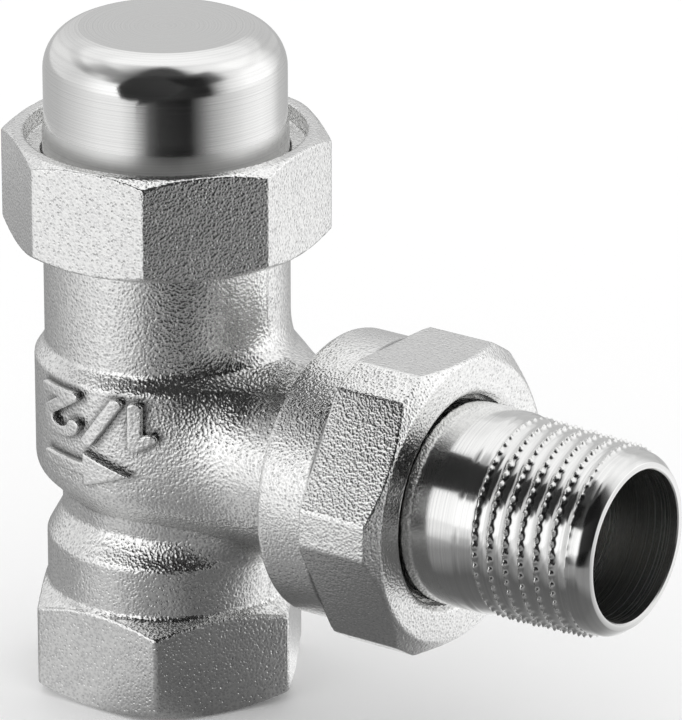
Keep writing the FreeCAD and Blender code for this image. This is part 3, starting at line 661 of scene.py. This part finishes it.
raisedMarks = netMesh("raisedMarks", marksForm, (-8.5, -15.4, 24.8), (9.5, -9.6, 37.6), marks["step"])
dress(raisedMarks, markNickel, "valve")
# Painted shade at the roots of the marks and on the belly round them, shifted up and to one side as a painted
# shadow
paintPoints(raisedMarks, "paintedShade", shadeNear(bodyForm(cornersOf(raisedMarks)), marks["rootShade"]))
spots = cornersOf(valveBody)
around, upward = bellyPlace(spots)
away = markDistance(around - marks["shadowShift"][0], upward - marks["shadowShift"][1])
offBelly = np.abs(np.hypot(spots[:, 0], spots[:, 1]) - body["belly"])
onBelly = (spots[:, 1] < 0) & (offBelly < marks["shadeReach"])
paintPoints(valveBody, "paintedShade", np.where(onBelly, shadeNear(away, marks["paintedShade"]), 0.0))
print("marks", len(raisedMarks.data.polygons))

# Threads of the body: each runs from start to end, and its back lies inside the metal
threads = {
    "inletThread": {"start": 0.35, "end": 13.9, "root": 10.46, "crest": 9.4, "back": 10.95, "pitch": 1.814,
                    "outlet": False},
    "collarThread": {"start": 52.2, "end": 56.25, "root": 13.8, "crest": 14.5, "back": 13.6, "pitch": 1.5,
                     "outlet": False},
    "spigotThread": {"start": 23.4, "end": 31.4, "root": 12.25, "crest": 13.1, "back": 12.0, "pitch": 1.814,
                     "outlet": True},
}


def threadMesh(name, look, segments=128, rowsPerPitch=14):
    turns = np.linspace(0, fullTurn, segments, endpoint=False)
    along = np.arange(look["start"], look["end"] + 1e-6, look["pitch"] / rowsPerPitch)
    phase = (along[:, None] - look["pitch"] * turns[None, :] / fullTurn) / look["pitch"]
    wave = 1 - np.abs(2 * (phase - np.floor(phase)) - 1)
    wave = np.clip(wave * 1.3 - 0.15, 0, 1)  # flattens crests and roots
    ends = np.minimum(along - look["start"], look["end"] - along)
    fade = np.clip(ends / look["pitch"], 0, 1)[:, None]
    ridges = look["root"] + (look["crest"] - look["root"]) * wave * fade
    back = np.full(turns.shape, look["back"])
    r = np.array([back, *ridges, back])
    h = np.array([look["start"], *along, look["end"]])[:, None] + 0 * turns
    if look["outlet"]:
        return gridMesh(name, np.stack([h, r * np.cos(turns), r * np.sin(turns) + body["axis"]], -1))
    return gridMesh(name, np.stack([r * np.cos(turns), r * np.sin(turns), h], -1))


for name, look in threads.items():
    dress(threadMesh(name, look), tailNickel if look["outlet"] else capNickel, "valve")
print("threads", len(threads))

# Cap nut
capNut = {
    "half": 16.075, "turn": 28.2, "low": 50.0, "high": 61.3, "rim": 15.99, "step": 0.26,
    "edge": 0.12, "sideEdge": 0.13, "boreEdge": 0.2, "threadBore": 14.6, "lip": 13.05, "recess": 14.76,
    "lowChamfer": (0.65, 0.838), "highChamfer": (0.55, 0.876),
}
capNutHole = roundCorners([
    (pastAxis, 48), (15.3, 48), (15.3, capNut["low"]), (capNut["threadBore"], 50.7),
    (capNut["threadBore"], 58.15), (capNut["lip"], 58.15), (capNut["lip"], 59.3, 0.15),
    (capNut["recess"], 59.35, 0.25), (capNut["recess"], 63), (pastAxis, 63),
])


def capNutForm(p):
    x, y, z = p[:, 0], p[:, 1], p[:, 2]
    r = np.hypot(x, y)
    below, beyond, past = capNut["low"] - z, z - capNut["high"], r - capNut["rim"]
    form = np.full(x.shape, -nowhere)
    form = flatSides(form, x, y, 8, capNut["half"], capNut["turn"] + 22.5, capNut["sideEdge"])
    form = softMax(form, below, capNut["edge"])
    form = softMax(form, beyond, capNut["edge"])
    lean, rise = capNut["lowChamfer"]
    form = softMax(form, (below + past * lean) * rise, capNut["edge"])
    lean, rise = capNut["highChamfer"]
    form = softMax(form, (beyond + past * lean) * rise, capNut["edge"])
    return softMax(form, -outlineDistance(r, z, capNutHole), capNut["boreEdge"])


capNutMesh = netMesh("capNutMesh", capNutForm, (-18, -18, 49.4), (18, 18, 61.9), capNut["step"])
dress(capNutMesh, blastedNickel, "cap_nut", "cap_nut")
print("cap nut", len(capNutMesh.data.polygons))

# Closing cap
cap = {
    "inside": 11.4, "flange": 14.3, "side": 12.9, "low": 57.05, "ledge": 58.15, "roof": 70.98, "top": 72.46,
    "shoulder": 4.56, "shoulderAt": (8.16, 67.99), "roofRound": 2.2, "axis": 0.001,
    "segments": 224, "sharp": 8.0,
}
shoulderTurns = np.radians(np.linspace(0, 80, 22))
across, along = cap["shoulderAt"]
capShoulder = [
    (across + cap["shoulder"] * math.cos(t), along + cap["shoulder"] * math.sin(t)) for t in shoulderTurns
]
capOutline = roundCorners([
    (cap["inside"], cap["low"]), (cap["flange"], cap["low"]), (cap["flange"], cap["ledge"]),
    (cap["side"], cap["ledge"]), (cap["side"], 60.9), (12.84, 62.0), (12.76, 63.0), (12.72, 64.0),
    *capShoulder, (cap["axis"], cap["top"]), (cap["axis"], cap["roof"]),
    (cap["inside"], cap["roof"], cap["roofRound"]),
], steps=14)
capMesh = turnedMesh("capMesh", capOutline, cap["segments"], cap["sharp"])
dress(capMesh, capNickel, "cap", "cap")
print("cap", len(capMesh.data.polygons))

# Union nut: a hexagon with flattened corners in front of a round band
unionNut = {
    "half": 15.29, "corner": 16.66, "cornerTurn": 6.6, "turn": 88.1, "facets": 28.1, "face": 37.3,
    "band": 15.2, "low": 21.9, "bandEnd": 34, "bandEdge": 0.7, "bandJoin": 0.1, "step": 0.27,
    "rim": 14.96, "backRim": 16.3, "backChamfer": (0.5, 0.894), "faceChamfer": (0.67, 0.831),
    "threadBore": 13.2, "hole": 11.1, "paintedShade": (1.1, 0.4),
    "edge": 0.12, "sideEdge": 0.13, "backEdge": 0.25, "innerEdge": 0.2,
}
unionHole = roundCorners([
    (20, pastAxis), (20, 13.8), (unionNut["low"], 13.8), (22.5, unionNut["threadBore"]),
    (34.6, unionNut["threadBore"]), (34.6, unionNut["hole"]), (36.66, unionNut["hole"]),
    (unionNut["face"], 11.74), (39, 11.74), (39, pastAxis),
])


def unionForm(p):
    x, y, z = p[:, 0], p[:, 1], p[:, 2] - body["axis"]
    r = np.hypot(y, z)
    behind, beyond = unionNut["facets"] - x, x - unionNut["face"]
    narrow = unionNut["corner"] * math.cos(math.radians(unionNut["cornerTurn"]))
    form = np.full(x.shape, -nowhere)
    for i in range(6):
        turn = math.radians(unionNut["turn"] + 60 * i)
        for half in (unionNut["half"], narrow):
            form = softMax(form, y * math.cos(turn) + z * math.sin(turn) - half, unionNut["sideEdge"])
            turn += math.radians(30)
    form = softMax(form, behind, unionNut["backEdge"])
    lean, rise = unionNut["backChamfer"]
    form = softMax(form, (behind + (r - unionNut["backRim"]) * lean) * rise, unionNut["innerEdge"])
    band = softMax(r - unionNut["band"], unionNut["low"] - x, unionNut["bandEdge"])
    band = softMax(band, x - unionNut["bandEnd"], unionNut["innerEdge"])
    form = softMax(softMin(form, band, unionNut["bandJoin"]), beyond, unionNut["edge"])
    lean, rise = unionNut["faceChamfer"]
    form = softMax(form, (beyond + (r - unionNut["rim"]) * lean) * rise, unionNut["edge"])
    return softMax(form, -outlineDistance(x, r, unionHole), unionNut["innerEdge"])


unionMesh = netMesh("unionMesh", unionForm, (21.3, -17.3, 10.7), (38.0, 17.3, 45.3), unionNut["step"])
dress(unionMesh, blastedNickel, "union_nut", "union_nut")
# Painted shade along the crease where the nut's facets meet its band
spots = cornersOf(unionMesh)
reach = np.hypot(spots[:, 1], spots[:, 2] - body["axis"])
away = np.hypot(spots[:, 0] - unionNut["facets"], reach - unionNut["band"])
paintPoints(unionMesh, "paintedShade", shadeNear(away, unionNut["paintedShade"]))
print("union nut", len(unionMesh.data.polygons))

# Tail piece with its notched taper thread
tail = {
    "bore": 8.03, "collar": 12.5, "plain": 10.65, "sharp": 40,
    "crest": 10.58, "pitch": 1.814, "depth": 0.42, "taper": 1 / 32, "start": 43.75, "end": 56.2,
    "rowStep": 0.085, "firstCrest": 44.5, "notches": 56, "columnsPerNotch": 9,
    "lineHalf": 0.17, "beadHalf": (0.22, 0.21), "beadShift": 0.04, "lineShare": 0.36, "beadShare": 0.68,
    "valley": 0.07, "tornRows": 16, "torn": 0.16,
}
tailFront = [
    (57.9, tail["bore"]), (44, tail["bore"]), (33, tail["bore"]), (32.4, 8.5), (32.4, 12.3),
    (32.6, tail["collar"]), (34.5, tail["collar"]), (34.6, 12.4), (34.6, 11.2), (34.7, 10.9), (35.1, 10.7),
    (35.6, tail["plain"]), (40, tail["plain"]), (42.75, tail["plain"]), (43.05, 10.63), (43.35, 10.56),
    (43.6, 10.48),
]
tailEnd = [
    (56.4, 9.68), (57.15, 9.64), (57.5, 9.48), (57.75, 9.25), (58.35, 8.82), (58.42, 8.7), (58.42, 8.15),
    (58.3, tail["bore"]),
]


def threadRow(x, turns, torn):
    # Radius and the burr mask round the tail at one place: a fine line along each crest, with torn beads on
    # it; the mask makes the crests rougher and, as a painted highlight, lighter
    beat = turns * tail["notches"] / fullTurn
    phase = (x - tail["firstCrest"]) / tail["pitch"] - turns / fullTurn
    coil = np.floor(phase + 0.5)
    off = (phase - coil) * tail["pitch"]
    wobble = torn[coil.astype(int) % tail["tornRows"], np.floor(beat).astype(int) % tail["notches"]]
    line = np.exp(-(off / tail["lineHalf"]) ** 2)
    place = beat - np.floor(beat) - 0.5 - wobble * 0.6
    around, along = tail["beadHalf"]
    bead = np.exp(-(place / around) ** 2 - ((off - tail["beadShift"]) / along) ** 2) * (1 + 1.6 * wobble)
    started = np.clip(phase * 2.0 + 0.8, 0, 1)
    last = min(1.0, max(0.0, (tail["end"] - x) / 0.5))
    sunk = tail["depth"] * min(1.0, 0.2 + (x - tail["start"]) / 2.6)
    valley = tail["valley"] * np.cos(fullTurn * (phase - coil)) * started
    crest = tail["crest"] - (x - tail["start"]) * tail["taper"]
    height = np.clip(tail["lineShare"] * line + tail["beadShare"] * bead, 0, 1) * started * last
    burrHighlight = np.clip(0.2 * line + 0.9 * bead, 0, 1) * started * last
    return crest - sunk * (1 - height) + valley, burrHighlight


def tailRow(x, r, turns):
    return np.stack([x + 0 * turns, r * np.cos(turns), r * np.sin(turns) + body["axis"]], -1)


def makeTail():
    turns = np.linspace(0, fullTurn, tail["notches"] * tail["columnsPerNotch"], endpoint=False)
    beads = (tail["tornRows"], tail["notches"])
    torn = np.random.default_rng(7).uniform(-tail["torn"], tail["torn"], beads)
    rows = [(x, r + 0 * turns, 0 * turns) for x, r in tailFront]
    for x in np.arange(tail["start"], tail["end"] + 1e-6, tail["rowStep"]):
        rows.append((x, *threadRow(x, turns, torn)))
    rows += [(x, r + 0 * turns, 0 * turns) for x, r in tailEnd]
    piece = gridMesh("tailMesh", np.array([tailRow(x, r, turns) for x, r, burrHighlight in rows]))
    paintPoints(piece, "burrHighlight", np.concatenate([burrHighlight for x, r, burrHighlight in rows]))
    piece.data.set_sharp_from_angle(angle=math.radians(tail["sharp"]))
    return piece


tailMesh = makeTail()
dress(tailMesh, tailNickel, "tail", "tail_piece")
print("tail", len(tailMesh.data.polygons))

# Inner pieces keep their solids and take a finish
innerPieces = [
    (("bonnet", "thrust_washer", "gland_nut", "spindle", "disc_holder", "disc_screw"),
     bareBrass, "bare_brass"),
    (("disc_clip",), springSteel, "spring_steel"),
    (("spindle_seal_lower", "spindle_seal_upper", "disc_seal"), sealRubber, "seal_rubber"),
    (("bonnet_gasket", "cap_gasket", "tail_gasket"), gasketFibre, "gasket"),
]
for names, material, slotName in innerPieces:
    for name in names:
        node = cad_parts[name]
        node.data.materials.clear()
        node.data.materials.append(material)
        node.data.shade_smooth()
        node.data.set_sharp_from_angle(angle=math.radians(30))
print("inner pieces", sum(len(names) for names, material, slotName in innerPieces))

# Camera
eye = {
    "azimuth": 34.559, "elevation": 21.368, "distance": 692.987, "aim": (22.13, 0.0, 40.255),
    "lens": 335.166, "sensor": 36.0,
}
scene = bpy.context.scene
azimuth, elevation = math.radians(eye["azimuth"]), math.radians(eye["elevation"])
toEye = Vector((math.sin(azimuth), -math.cos(azimuth), 0))
toRight = Vector((math.cos(azimuth), math.sin(azimuth), 0))
back = toEye * math.cos(elevation) + Vector((0, 0, math.sin(elevation)))
cameraData = bpy.data.cameras.new("camera")
camera = bpy.data.objects.new("camera", cameraData)
scene.collection.objects.link(camera)
cameraData.lens = eye["lens"]
cameraData.sensor_width = eye["sensor"]
cameraData.clip_start, cameraData.clip_end = 0.01, 20.0
camera.rotation_mode = "QUATERNION"
camera.location = (Vector(eye["aim"]) + back * eye["distance"]) * milli
camera.rotation_quaternion = (-back).to_track_quat("-Z", "Y")
scene.camera = camera

# Studio tones that the metal mirrors, by degrees from the photographer's side, below zero on the left
skyTones = [
    [(-180, 0.6), (-144, 0.8), (-117, 0.8), (-98, 0.74), (-84, 0.82), (-64, 1.15), (-36, 1.3), (-24, 1.05),
     (-14, 0.35), (-6, 0.04), (44, 0.0), (54, 0.5), (64, 0.85), (87, 1.2), (115, 1.2), (141, 0.6),
     (180, 0.6)],
    [(-180, 0.8), (-125, 0.7), (-92, 0.3), (-70, 0.72), (-54, 0.24), (-38, 0.06), (-18, 0.0), (44, 0.0),
     (60, 0.1), (72, 0.85), (95, 1.1), (140, 0.85), (180, 0.75)],
    [(-180, 1.0), (-128, 0.95), (-112, 0.88), (-98, 0.52), (-80, 0.32), (-60, 0.3), (-44, 0.14), (-28, 0.0),
     (44, 0.0), (60, 0.12), (72, 0.85), (95, 1.1), (140, 1.0), (180, 1.0)],
    [(-180, 1.1), (-112, 1.1), (-80, 0.65), (-36, 0.05), (30, 0.05), (54, 0.8), (110, 1.05), (180, 1.1)],
]
skySteps = [(0.45, 0.5), (0.6, 0.66), (0.82, 0.88)]  # layer to layer, by the direction's height
# Floor tones are a painted reflection: the floor glows with them only in reflections, in rings by distance
# from the valve, the nearest rings mostly darker as painted shade
floorReflectionTones = [
    [(-180, 0.36), (-150, 0.32), (-123, 0.36), (-92, 0.36), (-78, 0.44), (-66, 0.6), (-45, 0.58),
     (-34, 0.42), (-20, 0.27), (-4, 0.26), (8, 0.19), (18, 0.12), (45, 0.15), (58, 0.26), (70, 0.62),
     (82, 0.95), (100, 1.0), (114, 0.7), (128, 0.5), (150, 0.4), (180, 0.36)],
    [(-180, 0.4), (-158, 0.34), (-113, 0.42), (-98, 0.6), (-83, 0.72), (-62, 0.9), (-48, 0.92), (-36, 0.66),
     (-22, 0.45), (-8, 0.34), (8, 0.29), (36, 0.27), (56, 0.36), (70, 0.62), (84, 0.95), (100, 1.08),
     (114, 1.02), (128, 0.78), (143, 0.55), (180, 0.4)],
    [(-180, 0.54), (-143, 0.5), (-116, 0.54), (-92, 0.68), (-62, 0.93), (-40, 0.95), (-28, 0.72),
     (-14, 0.1), (-4, 0.02), (24, 0.0), (34, 0.16), (44, 0.4), (60, 0.66), (82, 0.95), (100, 1.05),
     (116, 0.96), (132, 0.6), (157, 0.5), (180, 0.52)],
]
floorSteps = [(0.4, 0.48), (0.76, 0.8)]  # ring to ring, in fifths of a metre
studio = {"floorTone": 0.98, "floorHalf": 3.0, "floorLevel": -0.0002, "softLight": 1.03, "ringsPerMetre": 5.0}


def turnRamp(tree, vector, tones):
    # Tone by direction, with the photographer's side half way along the ramp
    parts = []
    for aim in (toRight, toEye):
        part = addNode(tree, "ShaderNodeVectorMath", operation="DOT_PRODUCT")
        part.inputs[1].default_value = aim
        tree.links.new(vector, part.inputs[0])
        parts.append(part.outputs["Value"])
    turn = addMath(tree, "DIVIDE", addMath(tree, "ARCTAN2", *parts), fullTurn)
    spots = [((degrees + 180) / 360, tone) for degrees, tone in tones]
    return makeRamp(tree, addMath(tree, "ADD", turn, 0.5), spots)


def layeredTones(tree, vector, amount, layers, steps):
    tone = turnRamp(tree, vector, layers[0])
    for layer, (first, last) in zip(layers[1:], steps):
        share = makeRamp(tree, amount, [(first, 0.0), (last, 1.0)])
        tone = blendTones(tree, share, tone, turnRamp(tree, vector, layer))
    return tone


def mixByRay(tree, ray, other, seen):
    path = addNode(tree, "ShaderNodeLightPath")
    mix = addNode(tree, "ShaderNodeMixShader")
    tree.links.new(path.outputs[ray], mix.inputs[0])
    tree.links.new(other, mix.inputs[1])
    tree.links.new(seen, mix.inputs[2])
    return mix.outputs[0]


def stageMesh(name, corners):
    mesh = bpy.data.meshes.new(name)
    mesh.from_pydata(corners, [], [tuple(range(len(corners)))])
    piece = bpy.data.objects.new(name, mesh)
    scene.collection.objects.link(piece)
    return piece


def makeFloor():
    half, level = studio["floorHalf"], studio["floorLevel"]
    square = ((-1, -1), (1, -1), (1, 1), (-1, 1))
    floor = stageMesh("floor", [(a * half, b * half, level) for a, b in square])
    look = bpy.data.materials.new("floor")
    look.use_nodes = True
    tree = look.node_tree
    tree.nodes.clear()
    out = addNode(tree, "ShaderNodeOutputMaterial")
    pale = addNode(tree, "ShaderNodeBsdfDiffuse")
    pale.inputs["Color"].default_value = (*[studio["floorTone"]] * 3, 1)
    # Painted reflection: the floor glows only for reflected rays, darker near the valve as painted shade
    glow = addNode(tree, "ShaderNodeEmission")
    place = addNode(tree, "ShaderNodeNewGeometry").outputs["Position"]
    reach = addNode(tree, "ShaderNodeVectorMath", operation="LENGTH")
    tree.links.new(place, reach.inputs[0])
    ring = addMath(tree, "MULTIPLY", reach.outputs["Value"], studio["ringsPerMetre"])
    tree.links.new(layeredTones(tree, place, ring, floorReflectionTones, floorSteps), glow.inputs["Color"])
    tree.links.new(mixByRay(tree, "Is Glossy Ray", pale.outputs[0], glow.outputs[0]), out.inputs[0])
    floor.data.materials.append(look)


# A dark card at the photographer's left, near the tail, that only shows in the polished metal: a painted dark
# reflection, unseen by the camera, by diffuse light and by shadows
card = {
    "middle": (20.1, -36.6, 72.4), "along": (0.862, -0.338, 0.378), "up": (0.0, 0.746, 0.666),
    "outline": [(-12, -17), (40, -17), (40, 19), (0, 21), (-12, 23), (-19, 19), (-22, 13), (-21, 5),
                (-17, 0), (-12, -2)],
    "tone": 0.012, "rough": 0.9,
}


def makeCard():
    middle, along, up = (Vector(card[key]) for key in ("middle", "along", "up"))
    darkReflectionCard = stageMesh("darkReflectionCard", [(middle + along * a + up * b) * milli for a, b in card["outline"]])
    darkReflectionCard.visible_camera = False
    darkReflectionCard.visible_diffuse = False
    darkReflectionCard.visible_shadow = False
    darkReflectionCard.visible_transmission = False
    look, tree, shader = newMaterial("darkReflectionCard")
    shader.inputs["Base Color"].default_value = (*[card["tone"]] * 3, 1)
    shader.inputs["Roughness"].default_value = card["rough"]
    darkReflectionCard.data.materials.append(look)


def makeWorld():
    world = bpy.data.worlds.new("studio")
    scene.world = world
    world.use_nodes = True
    tree = world.node_tree
    tree.nodes.clear()
    out = addNode(tree, "ShaderNodeOutputWorld")
    white = addNode(tree, "ShaderNodeBackground")
    white.inputs["Color"].default_value = (1, 1, 1, 1)
    soft = addNode(tree, "ShaderNodeBackground")
    soft.inputs["Color"].default_value = (*[studio["softLight"]] * 3, 1)
    mirrored = addNode(tree, "ShaderNodeBackground")
    aim = addNode(tree, "ShaderNodeTexCoord").outputs["Generated"]
    split = addNode(tree, "ShaderNodeSeparateXYZ")
    tree.links.new(aim, split.inputs[0])
    tree.links.new(layeredTones(tree, aim, split.outputs[2], skyTones, skySteps), mirrored.inputs["Color"])
    lit = mixByRay(tree, "Is Glossy Ray", soft.outputs[0], mirrored.outputs[0])
    tree.links.new(mixByRay(tree, "Is Camera Ray", lit, white.outputs[0]), out.inputs[0])


makeFloor()
makeCard()
makeWorld()
scene.view_settings.view_transform = "Standard"
print("stage ready")
